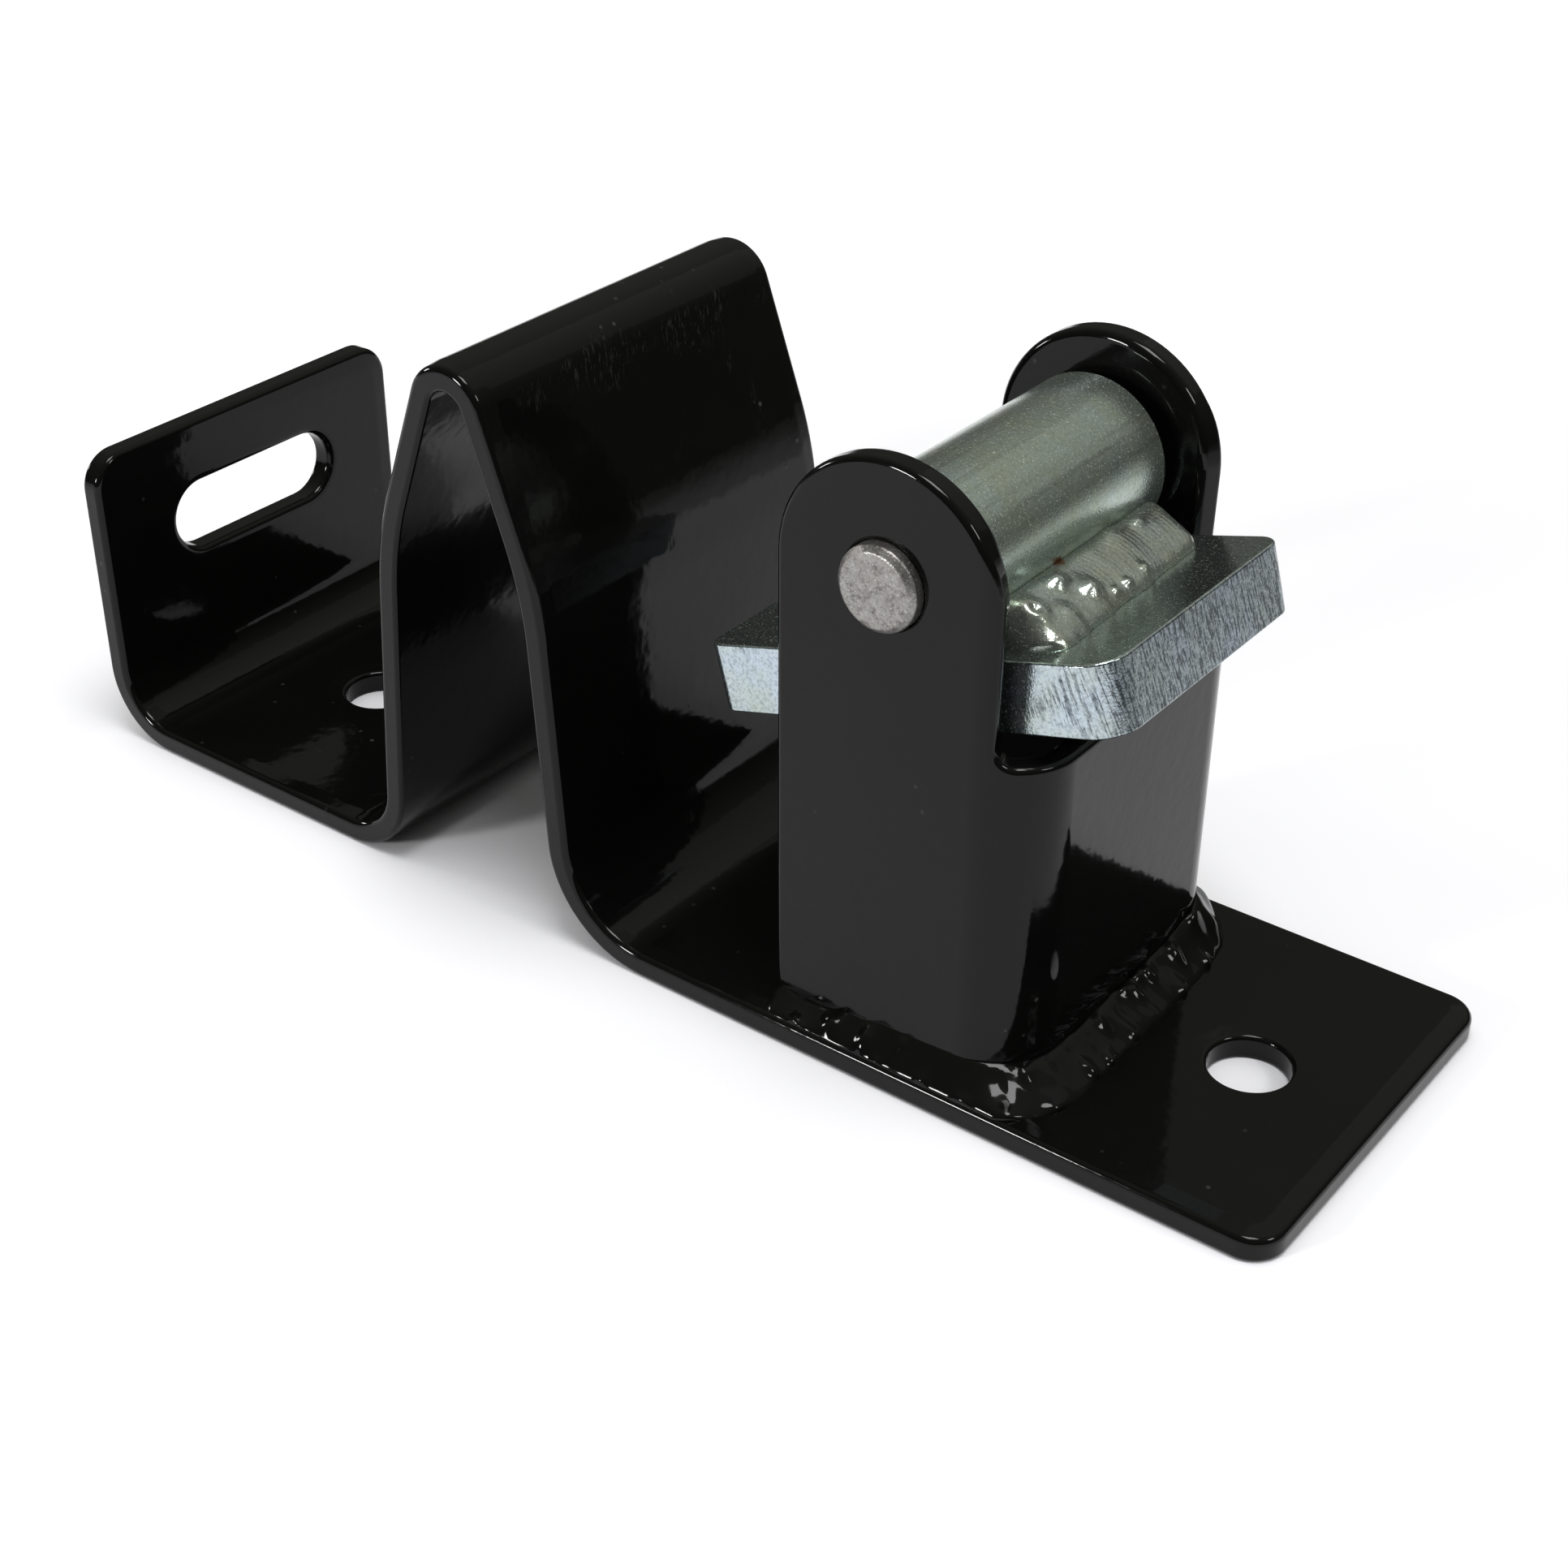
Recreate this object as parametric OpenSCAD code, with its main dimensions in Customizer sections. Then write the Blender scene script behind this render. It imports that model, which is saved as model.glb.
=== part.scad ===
// Gate latch: a folded strap with a tall hump, and a free-hanging pawl in a welded clevis.
// +X runs to the bolt end, +Y to the back and +Z up. The underside of the strap is Z = 0.
// All sizes are in millimetres and all angles in degrees.

/* [Strap] */
// Length of the folded strap, from the flange's outer face to the bolt end
strap_len = 260; // [240:1:320]
// Width of the flat bar
strap_w = 76.2; // [72:0.2:90]
// Thickness of the flat bar
strap_t = 4.76; // [4:0.01:6]
// Height of the upright flange above the underside
flange_h = 59; // [52:0.5:80]
// Inside radius of the flange bend and of the hump's foot beside it
bend_r = 10; // [6:0.5:14]
// Inside radius of the hump's foot toward the clevis
foot_r = 16; // [8:0.5:20]
// Radius of the flange's two top corners
flange_corner_r = 7; // [2:0.5:12]
// Radius of the two corners at the bolt end
end_corner_r = 6; // [2:0.5:12]

/* [Hump] */
// Distance from the flange's outer face to the middle of the hump
hump_x = 99; // [90:0.5:110]
// Height of the hump's crown above the underside
hump_h = 104.3; // [95:0.1:125]
// Inside radius of the crown
crown_r = 3.8; // [2:0.1:6]
// Height of the knee where the walls start to close in
knee_h = 66; // [55:0.5:75]
// Inside radius of the knee
knee_r = 8; // [3:0.5:12]
// Lean of the lower walls from upright
lower_lean = 3.9; // [0:0.1:6]
// Lean of the upper walls from upright
upper_lean = 20; // [15:0.5:25]

/* [Bolt holes] */
// Diameter of the two bolt holes in the base
bolt_hole_d = 14.6; // [11:0.1:18]
// Distance from the flange's outer face to the first bolt hole
first_hole_x = 36.7; // [32:0.1:44]
// Distance from the second bolt hole to the bolt end
second_hole_inset = 24.6; // [18:0.1:30]
// Width of the slot in the flange
slot_w = 15.2; // [11:0.1:18]
// Length of the slot in the flange, end to end
slot_len = 42; // [28:0.5:50]
// Height of the slot's middle above the underside
slot_h = 40; // [34:0.5:44]

/* [Clevis] */
// Width of the strip of strap outside each ear
ledge_w = 4.9; // [4:0.1:6.5]
// Thickness of the folded plate
clevis_t = 4.76; // [4:0.01:6]
// Inside radius of the two upright folds
clevis_bend_r = 7.2; // [4:0.1:8]
// Distance from the flange's outer face to the pivot
pivot_x = 183; // [178:0.5:190]
// Height of the pivot above the underside
pivot_h = 89.6; // [86:0.1:96]
// Radius of the round ear about the pivot
ear_r = 19.8; // [18.5:0.1:21]
// Distance from the pivot to the web's outer face
web_reach = 28.3; // [27:0.1:31]
// Radius in the notch between ear and web
notch_r = 3; // [1:0.5:5]

/* [Pin and barrel] */
// Diameter of the pivot pin
pin_d = 14.3; // [12:0.1:16]
// Length of pin that stands out of each ear
pin_proud = 2.6; // [1:0.1:4]
// Bevel at the ends of the pin
pin_bevel = 1; // [0.4:0.1:1.6]
// Gap around the pin in the ears, on the radius
pin_gap = 0.08; // [0.03:0.01:0.1]
// Tightness of the pin in the barrel, on the radius
pin_press = 0.01; // [0.005:0.005:0.03]
// Bevel around the pin hole on the ears' outer faces
ear_hole_bevel = 0.8; // [0.3:0.1:1.2]
// Outside diameter of the barrel
barrel_d = 28; // [24:0.1:30]
// Bevel at the ends of the barrel
barrel_bevel = 0.8; // [0.3:0.1:1.5]

/* [Pawl] */
// Play of barrel and pawl between the ears, both sides together
side_play = 3.48; // [2.4:0.02:6]
// Distance of the pawl from the middle of the clevis, toward the front
pawl_shift = 0.5; // [0:0.1:0.6]
// Thickness of the pawl plate
pawl_t = 12; // [9:0.1:12.5]
// Reach of the tongue from the pivot, toward the hump
tongue_len = 44.4; // [38:0.1:48]
// Reach of the tail from the pivot, past the web
tail_len = 32.8; // [30:0.1:44]
// Radius of the tongue's two corners
tongue_corner_r = 3; // [1:0.1:6]
// Radius of the tail's two corners
tail_corner_r = 6; // [2:0.1:10]
// Angle at which the pawl hangs, tongue down
hang_angle = 16; // [12:0.5:24]
// Gap between the hanging tail and the web's inner edge
tail_gap = 4.3; // [2:0.1:8]

/* [Welds] */
// Height of the clevis welds up the plate
clevis_weld_h = 4.8; // [3:0.1:7]
// Strip of bare strap between the clevis welds and the edge
weld_margin = 0.4; // [0.2:0.1:1.5]
// Bulge of every weld over a flat fillet
weld_crown = 0.6; // [0.2:0.1:1]
// Reach of the pawl welds along the plate from below the pivot
pawl_weld_reach = 21; // [17:0.5:23]
// Angle around the barrel, from level with the pawl, where its welds start
pawl_weld_angle = 23; // [15:1:40]
// Start of the pawl welds beside the line where the barrel meets the plate
pawl_weld_root = 4; // [3:0.1:6]
// Bare ends of the pawl welds
pawl_weld_inset = 2.5; // [1:0.1:6]

/* [Hidden] */
$fn = 64;
// Overshoot of cutting shapes
cut = 1;
// Length over which folds and straight runs reach into each other
lap = 0.5;
// Extra radius of the folds, so that their arcs cross the straight faces
cross = 0.002;

// Places along the strap
flange_x = -strap_len / 2;
hump_cx = flange_x + hump_x;
pivot_cx = flange_x + pivot_x;
first_hole_cx = flange_x + first_hole_x;
second_hole_cx = strap_len / 2 - second_hole_inset;

// Turns of the hump's walls
lower_turn = 90 - lower_lean;
upper_turn = 90 - upper_lean;
knee_turn = upper_lean - lower_lean;

// Straight runs of the folded bar, along its lower or outer face
bend_path_r = bend_r + strap_t;
foot_path_r = foot_r + strap_t;
flange_run = flange_h - bend_path_r;
knee_top = knee_h + knee_r * (cos(upper_turn) - cos(lower_turn));
crown_low = hump_h - strap_t - crown_r * (1 - cos(upper_turn));
upper_run = (crown_low - knee_top) / sin(upper_turn);
near_wall_run = (knee_h - bend_path_r * (1 - cos(lower_turn))) / sin(lower_turn);
far_wall_run = (knee_h - foot_path_r * (1 - cos(lower_turn))) / sin(lower_turn);
hump_upper_half = knee_r * (sin(lower_turn) - sin(upper_turn))
    + upper_run * cos(upper_turn) + crown_r * sin(upper_turn);
near_half = bend_path_r * sin(lower_turn) + near_wall_run * cos(lower_turn) + hump_upper_half;
far_half = foot_path_r * sin(lower_turn) + far_wall_run * cos(lower_turn) + hump_upper_half;
near_run = hump_x - near_half - bend_path_r;
far_run = strap_len / 2 - hump_cx - far_half;

// Clevis and its welds
clevis_w = strap_w - 2 * ledge_w;
clevis_weld_reach = ledge_w - weld_margin;
clevis_fold_r = clevis_bend_r + clevis_t;
ear_x = pivot_cx - ear_r;
web_x = pivot_cx + web_reach;
fold_x = web_x - clevis_fold_r;
clevis_in_w = clevis_w - 2 * clevis_t;
ear_top = pivot_h + ear_r;
web_flat_w = clevis_w - 2 * clevis_fold_r;

// Pin, barrel and pawl
pin_len = clevis_w + 2 * pin_proud;
barrel_r = barrel_d / 2;
barrel_bore_r = pin_d / 2 - pin_press;
pawl_w = clevis_in_w - side_play;

// Height of the web, below the hanging tail's underside
tail_low = (barrel_r + pawl_t) / cos(hang_angle) - (web_reach - clevis_t) * tan(hang_angle);
web_h = pivot_h - tail_low - tail_gap;

// Part of a ring, from a start angle through a turn
module ring_part(r_in, r_out, start, turn) {
    far = 2 * r_out;
    intersection() {
        difference() {
            circle(r_out);
            circle(r_in);
        }
        polygon([[0, 0], for (i = [0:3]) far * [cos(start + turn * i / 3), sin(start + turn * i / 3)]]);
    }
}

// Straight run of the folded bar, with the rest of the bar at its end
module run(len) {
    square([len, strap_t]);
    translate([len, 0]) children();
}

// Arc of the folded bar, whose outer half reaches back into the straight runs
module fold_arc(r, start, turn) {
    mid_r = r + strap_t / 2;
    out_r = r + strap_t;
    reach = lap / out_r * 180 / PI;
    ring_part(r + cross, mid_r + lap, start, turn);
    ring_part(mid_r, out_r + cross, start - reach, turn + 2 * reach);
}

// Inner half of the bar and a little more, reaching from a straight run into a fold
module fold_root(low) {
    translate([-lap, low]) square([2 * lap, strap_t / 2 + lap]);
}

// Fold toward the upper face, with the rest of the bar at its end
module fold_up(r, turn) {
    path_r = r + strap_t;
    fold_root(strap_t / 2 - lap);
    translate([0, path_r]) fold_arc(r, -90, turn);
    translate([path_r * sin(turn), path_r * (1 - cos(turn))]) rotate(turn) {
        fold_root(strap_t / 2 - lap);
        children();
    }
}

// Fold toward the lower face, with the rest of the bar at its end
module fold_down(r, turn) {
    fold_root(0);
    translate([0, -r]) fold_arc(r, 90 - turn, turn);
    translate([r * sin(turn), r * (cos(turn) - 1)]) rotate(-turn) {
        fold_root(0);
        children();
    }
}

// Side view of the folded bar, from the top of the flange to the bolt end
module strap_side() {
    translate([flange_x, flange_h]) rotate(-90)
        run(flange_run) fold_up(bend_r, 90) run(near_run)
        fold_up(bend_r, lower_turn) run(near_wall_run) fold_down(knee_r, knee_turn) run(upper_run)
        fold_down(crown_r, 2 * upper_turn)
        run(upper_run) fold_down(knee_r, knee_turn) run(far_wall_run) fold_up(foot_r, lower_turn)
        run(far_run);
}

// Stands a side view up along the width
module across(w) {
    rotate([90, 0, 0]) linear_extrude(w, center = true) children();
}

// What a rounded corner at the origin leaves to be cut off
module corner_waste(r) {
    difference() {
        translate([-cut, -cut]) square(r + cut);
        translate([r, r]) circle(r);
    }
}

// Flat bar folded into flange, base, hump and bolt end
module strap() {
    color("black") difference() {
        across(strap_w) strap_side();
        for (side = [-1, 1]) {
            translate([flange_x - cut, side * strap_w / 2, flange_h])
                rotate([90, 0, 90]) mirror([side > 0 ? 1 : 0, 0]) mirror([0, 1])
                linear_extrude(strap_t + 2 * cut) corner_waste(flange_corner_r);
            translate([strap_len / 2, side * strap_w / 2, -cut])
                mirror([1, 0, 0]) mirror([0, side > 0 ? 1 : 0, 0])
                linear_extrude(strap_t + 2 * cut) corner_waste(end_corner_r);
        }
        for (x = [first_hole_cx, second_hole_cx])
            translate([x, 0, -cut]) cylinder(d = bolt_hole_d, h = strap_t + 2 * cut);
        translate([flange_x - cut, 0, slot_h]) rotate([90, 0, 90]) linear_extrude(strap_t + 2 * cut) slot();
    }
}

// Slot with round ends
module slot() {
    mid = slot_len - slot_w;
    square([mid, slot_w], center = true);
    for (side = [-1, 1])
        translate([side * mid / 2, 0]) circle(d = slot_w);
}

// Plan of a block whose two corners toward +X are round
module round_ended(x0, x1, w, r) {
    translate([x0, -w / 2]) square([x1 - r - x0, w]);
    translate([x1 - 2 * r, -w / 2 + r]) square([2 * r, w - 2 * r]);
    for (side = [-1, 1])
        translate([x1 - r, side * (w / 2 - r)]) circle(r);
}

// Side view of the clevis: web, ear and the notch between them
module clevis_side() {
    translate([ear_x, strap_t]) square([web_x - ear_x, web_h - strap_t]);
    translate([ear_x, strap_t]) square([2 * ear_r, pivot_h - strap_t]);
    translate([pivot_cx, pivot_h]) circle(ear_r);
    translate([pivot_cx + ear_r, web_h]) corner_waste(notch_r);
}

// One plate folded into a web and two ears
module clevis() {
    color("black") difference() {
        intersection() {
            translate([0, 0, strap_t]) linear_extrude(ear_top - strap_t) difference() {
                round_ended(ear_x, web_x, clevis_w, clevis_fold_r);
                round_ended(ear_x - cut, web_x - clevis_t, clevis_in_w, clevis_bend_r);
            }
            across(clevis_w + 2 * cut) clevis_side();
        }
        at_pivot() rotate([90, 0, 0]) cylinder(r = pin_d / 2 + pin_gap, h = clevis_w + 2 * cut, center = true);
        for (side = [0, 1])
            at_pivot() mirror([0, side, 0]) translate([0, -clevis_w / 2, 0]) rotate([-90, 0, 0])
                cylinder(r1 = pin_d / 2 + pin_gap + ear_hole_bevel, r2 = pin_d / 2 + pin_gap, h = ear_hole_bevel);
    }
}

// Moves a piece to the pivot
module at_pivot() {
    translate([pivot_cx, 0, pivot_h]) children();
}

// Moves a piece to the pivot and hangs it with the pawl
module hanging() {
    at_pivot() translate([0, -pawl_shift, 0]) rotate([0, -hang_angle, 0]) children();
}

// Round bar along the pivot with bevelled ends
module bevelled_bar(r, len, bevel) {
    rotate([90, 0, 0]) rotate_extrude()
        polygon([[0, -len / 2], [r - bevel, -len / 2], [r, -len / 2 + bevel],
                 [r, len / 2 - bevel], [r - bevel, len / 2], [0, len / 2]]);
}

// Headless pivot pin, pressed into the barrel and turning in the ears
module pin() {
    color("silver") at_pivot() bevelled_bar(pin_d / 2, pin_len, pin_bevel);
}

// Tube that carries the pawl between the ears
module barrel() {
    color("silver") hanging() difference() {
        bevelled_bar(barrel_r, pawl_w, barrel_bevel);
        rotate([90, 0, 0]) cylinder(r = barrel_bore_r, h = pawl_w + 2 * cut, center = true);
    }
}

// Plan of the pawl plate, tongue toward -X
module pawl_plan() {
    square_x = tail_len - tail_corner_r;
    mirror([1, 0]) round_ended(-square_x, tongue_len, pawl_w, tongue_corner_r);
    round_ended(0, tail_len, pawl_w, tail_corner_r);
}

// Thick flat plate under the barrel
module pawl() {
    color("silver") hanging() translate([0, 0, -barrel_r - pawl_t]) linear_extrude(pawl_t) pawl_plan();
}

// Disc whose edge runs from a to b and rises over the straight line between them, to its right
module crowned_disc(a, b) {
    chord = norm(b - a);
    out = [b[1] - a[1], a[0] - b[0]] / chord;
    r = (chord * chord / 4 + weld_crown * weld_crown) / (2 * weld_crown);
    translate((a + b) / 2 + out * (weld_crown - r)) circle(r);
}

// Section of the weld between barrel and plate, toward the tail
module pawl_weld_section() {
    toe = [pawl_weld_reach, -barrel_r];
    top = barrel_r * [cos(pawl_weld_angle), -sin(pawl_weld_angle)];
    difference() {
        intersection() {
            translate([pawl_weld_root, -barrel_r]) square([pawl_weld_reach, barrel_r]);
            crowned_disc(toe, top);
        }
        circle(barrel_r);
    }
}

// Weld along the barrel on the side of the tail
module pawl_weld_tail() {
    color("silver") hanging() across(pawl_w - 2 * pawl_weld_inset) pawl_weld_section();
}

// Weld along the barrel on the side of the tongue
module pawl_weld_tongue() {
    color("silver") hanging() across(pawl_w - 2 * pawl_weld_inset) mirror([1, 0]) pawl_weld_section();
}

// Section of a fillet weld, with the foot of the wall at the origin and the weld toward +X
module clevis_weld_section() {
    intersection() {
        square([clevis_weld_reach + cut, clevis_weld_h + cut]);
        crowned_disc([clevis_weld_reach, 0], [0, clevis_weld_h]);
    }
}

// Weld along the foot of one ear, up to the fold
module ear_weld() {
    translate([ear_x, clevis_w / 2, strap_t]) rotate([90, 0, 90]) linear_extrude(fold_x - ear_x)
        clevis_weld_section();
}

// Weld along the front ear
module clevis_weld_front() {
    color("black") mirror([0, 1, 0]) ear_weld();
}

// Weld along the web and around its two folds
module clevis_weld_web() {
    color("black") {
        translate([web_x, 0, strap_t]) across(web_flat_w) clevis_weld_section();
        for (side = [0, 1])
            mirror([0, side, 0]) translate([fold_x, web_flat_w / 2, strap_t]) rotate_extrude(angle = 90)
                translate([clevis_fold_r, 0]) clevis_weld_section();
    }
}

// Weld along the rear ear
module clevis_weld_rear() {
    color("black") ear_weld();
}

strap();
clevis();
clevis_weld_front();
clevis_weld_web();
clevis_weld_rear();
pin();
barrel();
pawl();
pawl_weld_tail();
pawl_weld_tongue();
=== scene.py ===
"""Looks of the gate latch: a black-coated folded strap and clevis, and a zinc-plated pawl on its pin.

Shapes are worked out in millimetres and scaled to metres when a mesh is made.
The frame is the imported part's: +X to the bolt end, +Y to the back and +Z up.
"""
import math

import bmesh
import bpy
import numpy as np
from mathutils import Matrix, Vector, noise
from mathutils.geometry import delaunay_2d_cdt


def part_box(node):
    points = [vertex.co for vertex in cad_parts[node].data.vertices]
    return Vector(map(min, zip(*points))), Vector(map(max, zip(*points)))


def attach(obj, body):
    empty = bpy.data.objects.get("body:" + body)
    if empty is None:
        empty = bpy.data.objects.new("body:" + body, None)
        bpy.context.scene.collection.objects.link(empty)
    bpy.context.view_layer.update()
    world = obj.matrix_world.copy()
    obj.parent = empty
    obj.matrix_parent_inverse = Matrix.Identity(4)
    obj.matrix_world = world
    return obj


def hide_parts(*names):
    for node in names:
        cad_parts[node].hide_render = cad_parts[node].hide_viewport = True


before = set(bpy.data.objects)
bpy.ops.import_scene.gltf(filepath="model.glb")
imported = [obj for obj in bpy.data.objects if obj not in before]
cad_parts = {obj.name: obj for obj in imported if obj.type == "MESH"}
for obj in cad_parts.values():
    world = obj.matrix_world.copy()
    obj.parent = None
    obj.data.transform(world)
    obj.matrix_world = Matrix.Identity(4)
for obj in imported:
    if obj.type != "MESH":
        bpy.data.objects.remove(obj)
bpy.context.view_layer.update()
MM = 0.001


def box_mm(node):
    """Lowest and highest corner of a CAD node, in millimetres."""
    low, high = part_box(node)
    return np.array(low) / MM, np.array(high) / MM


# Sizes read from the frame
strap_low, strap_high = box_mm("strap")
clevis_low, clevis_high = box_mm("clevis")
pin_low, pin_high = box_mm("pin")
barrel_low, barrel_high = box_mm("barrel")
STRAP_W = strap_high[1] - strap_low[1]
FLANGE_X, END_X = strap_low[0], strap_high[0]
EAR_X, WEB_X = clevis_low[0], clevis_high[0]
CLEVIS_W = clevis_high[1] - clevis_low[1]
PIVOT = (pin_low + pin_high) / 2
PIN_R = (pin_high[2] - pin_low[2]) / 2
PIN_LEN = pin_high[1] - pin_low[1]
PAWL_W = barrel_high[1] - barrel_low[1]
PAWL_Y = (barrel_high[1] + barrel_low[1]) / 2

# Sizes of the folded strap: the part's, with flange, knees, slot and holes read once more from the photograph
STRAP_T = 4.76
FLANGE_H = 60.2
BEND_R, FOOT_R, CROWN_R = 10.0, 16.0, 3.8
HUMP_CX, HUMP_H = FLANGE_X + 99, 104.3
LOWER_TURN, UPPER_TURN = math.radians(90 - 3.9), math.radians(90 - 20)
KNEE_R, KNEE_H = 65.0, 58.0
FLANGE_CORNER_R, END_CORNER_R = 7.0, 6.0
BOLT_HOLE_R = 7.05
FIRST_HOLE_CX, SECOND_HOLE_CX = FLANGE_X + 36.0, END_X - 24.0
SLOT_R, SLOT_LEN, SLOT_Z = 7.0, 41.0, 40.3

# Sizes of the clevis, pawl, barrel and pin
CLEVIS_T, CLEVIS_BEND_R, CLEVIS_CORNER_R = 4.76, 7.2, 1.2
CLEVIS_FOLD_R = CLEVIS_BEND_R + CLEVIS_T
EAR_R = PIVOT[0] - EAR_X
WEB_H, NOTCH_R = 65.0, 3.0
PIN_GAP = 0.08
BARREL_R = 14.0
BARREL_BEVEL, PIN_BEVEL = 0.8, 1.0
PAWL_T, TONGUE_LEN, TAIL_LEN = 12.0, 44.4, 32.8
TONGUE_CORNER_R, TAIL_CORNER_R, REAR_CORNER_R = 3.0, 6.0, 3.8
HANG_ANGLE = math.radians(16)

# Edges: rounding on the shown face, width of the soft roll-off beside it, and rounding on the other face
STRAP_EDGE, BOLT_EDGE, SLOT_EDGE = (1.3, 3.0, 0.9), (0.9, 3.6, 0.6), (1.4, 0.6, 0.8)
EAR_EDGE, PIN_HOLE_EDGE, PAWL_EDGE = (1.6, 0.0, 1.2), (1.0, 0.0, 0.6), (0.45, 0.0, 0.45)
BARREL_EDGE, PIN_EDGE = 0.25, 0.3
ROLL_LEAN = math.radians(5)
COAT_T = 0.35

# Meshing: steps round arcs and bends, and distances between points
ARC_STEP, BEND_STEP, SHARP_ANGLE = math.radians(4), math.radians(2.5), math.radians(28)
EDGE_STEP, EDGE_CLEAR = 1.5, 0.3
CAP_COLUMNS, CAP_MARGIN, CAP_CLEAR = 15, 0.5, 0.4
ROUND_POINTS, LATHE_STEPS = 5, 160
TINY, CAP_MERGE, SEAM_M = 1e-6, 1e-5, 2e-6


# Meshes

def add(name, data):
    """A new object in the scene."""
    piece = bpy.data.objects.new(name, data)
    bpy.context.scene.collection.objects.link(piece)
    return piece


def make_mesh(name, points, faces, normals=None):
    """Smooth mesh object from points in millimetres, with joined seams and its own normals if given."""
    mesh = bpy.data.meshes.new(name)
    mesh.from_pydata([tuple(p) for p in np.asarray(points) * MM], [], faces)
    work = bmesh.new()
    work.from_mesh(mesh)
    tag = work.verts.layers.int.new("source")
    work.verts.ensure_lookup_table()
    for i, v in enumerate(work.verts):
        v[tag] = i
    bmesh.ops.remove_doubles(work, verts=work.verts, dist=SEAM_M)
    bmesh.ops.recalc_face_normals(work, faces=work.faces)
    order = [v[tag] for v in work.verts]
    work.verts.layers.int.remove(tag)
    work.to_mesh(mesh)
    work.free()
    mesh.shade_smooth()
    if normals is not None:
        kept = np.asarray(normals)[order]
        kept /= np.linalg.norm(kept, axis=1)[:, None]
        mesh.normals_split_custom_set_from_vertices([tuple(n) for n in kept])
    return add(name, mesh)


def quads(first, n, rings, closed=False):
    """Faces between rings of n points that follow each other, and from the last to the first if closed."""
    faces = []
    for k in range(rings if closed else rings - 1):
        a, b = first + k * n, first + (k + 1) % rings * n
        for i in range(n):
            j = (i + 1) % n
            faces.append((a + i, a + j, b + j, b + i))
    return faces


# Flat plates that are cut to an outline and folded along a path

class FoldPath:
    """Line along a folded plate, made of straight runs and arcs in one plane."""

    def __init__(self, start, heading, moves):
        """moves holds (length, 0) for a run and (radius, turn) for an arc, turn positive to the left."""
        self.parts, self.at_s = [], [0.0]
        point = np.array(start, float)
        for size, turn in moves:
            length = size * abs(turn) if turn else size
            bend = math.copysign(1 / size, turn) if turn else 0.0
            self.parts.append((point.copy(), heading, bend))
            point, heading = self._ahead(point, heading, bend, np.array([length]))
            point, heading = point[0], float(heading[0])
            self.at_s.append(self.at_s[-1] + length)
        self.length = self.at_s[-1]

    @staticmethod
    def _ahead(point, heading, bend, s):
        """Points and headings at distances s along one part."""
        turned = heading + bend * s
        if bend:
            step = [np.sin(turned) - math.sin(heading), math.cos(heading) - np.cos(turned)]
            return point + np.stack(step, -1) / bend, turned
        return point + s[:, None] * np.array([math.cos(heading), math.sin(heading)]), turned

    def at(self, s):
        """Points and headings at distances s along the whole path."""
        s = np.asarray(s, float)
        points, headings = np.zeros((len(s), 2)), np.zeros(len(s))
        part = np.clip(np.searchsorted(self.at_s, s, side="right") - 1, 0, len(self.parts) - 1)
        for i, (point, heading, bend) in enumerate(self.parts):
            here = part == i
            if here.any():
                points[here], headings[here] = self._ahead(point, heading, bend, s[here] - self.at_s[i])
        return points, headings

    def bend_stations(self):
        """Distances along the path that cut each arc into steps of a few degrees."""
        stations = []
        for i, (_, _, bend) in enumerate(self.parts):
            if bend:
                span = self.at_s[i + 1] - self.at_s[i]
                count = max(2, math.ceil(span * abs(bend) / BEND_STEP))
                stations += list(np.linspace(self.at_s[i], self.at_s[i + 1], count + 1))
        return np.array(stations)


def arc(centre, radius, start, end):
    """Points on an arc, angles in degrees."""
    a, b = math.radians(start), math.radians(end)
    angles = np.linspace(a, b, max(2, math.ceil(abs(b - a) / ARC_STEP) + 1))
    return np.stack([centre[0] + radius * np.cos(angles), centre[1] + radius * np.sin(angles)], -1)


def round_hole(centre, radius):
    """Closed round line that turns right."""
    return arc(centre, radius, 360, 0)[:-1]


def rectangle(length, half, start_r, front_r, rear_r):
    """Outline from 0 to length, with the corners at its start and at the front and rear of its end rounded."""
    return np.concatenate([
        arc((start_r, start_r - half), start_r, 180, 270),
        arc((length - front_r, front_r - half), front_r, 270, 360),
        arc((length - rear_r, half - rear_r), rear_r, 0, 90),
        arc((start_r, half - start_r), start_r, 90, 180)])


def densify(corners, at=()):
    """Closed line through the corners, with points a step apart and wherever it crosses x in at."""
    points = []
    for a, b in zip(corners, np.roll(corners, -1, 0)):
        length, run = np.linalg.norm(b - a), b[0] - a[0]
        if length < TINY:
            continue
        shares = list(np.linspace(0, 1, max(1, math.ceil(length / EDGE_STEP)) + 1)[:-1])
        if len(at) and abs(run) > TINY:
            shares = [x for x in shares if x == 0 or abs(at - (a[0] + x * run)).min() > EDGE_CLEAR]
            shares += [x for x in (at - a[0]) / run if 1e-4 < x < 1 - 1e-4]
        points += [a + (b - a) * x for x in sorted(shares)]
    return np.array(points)


def outward(loop):
    """Unit normals of a closed line, to the right of its direction."""
    along = np.roll(loop, -1, 0) - loop
    along /= np.linalg.norm(along, axis=1)[:, None]
    normal = np.stack([along[:, 1], -along[:, 0]], -1)
    mean = normal + np.roll(normal, 1, 0)
    return mean / np.linalg.norm(mean, axis=1)[:, None]


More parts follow.
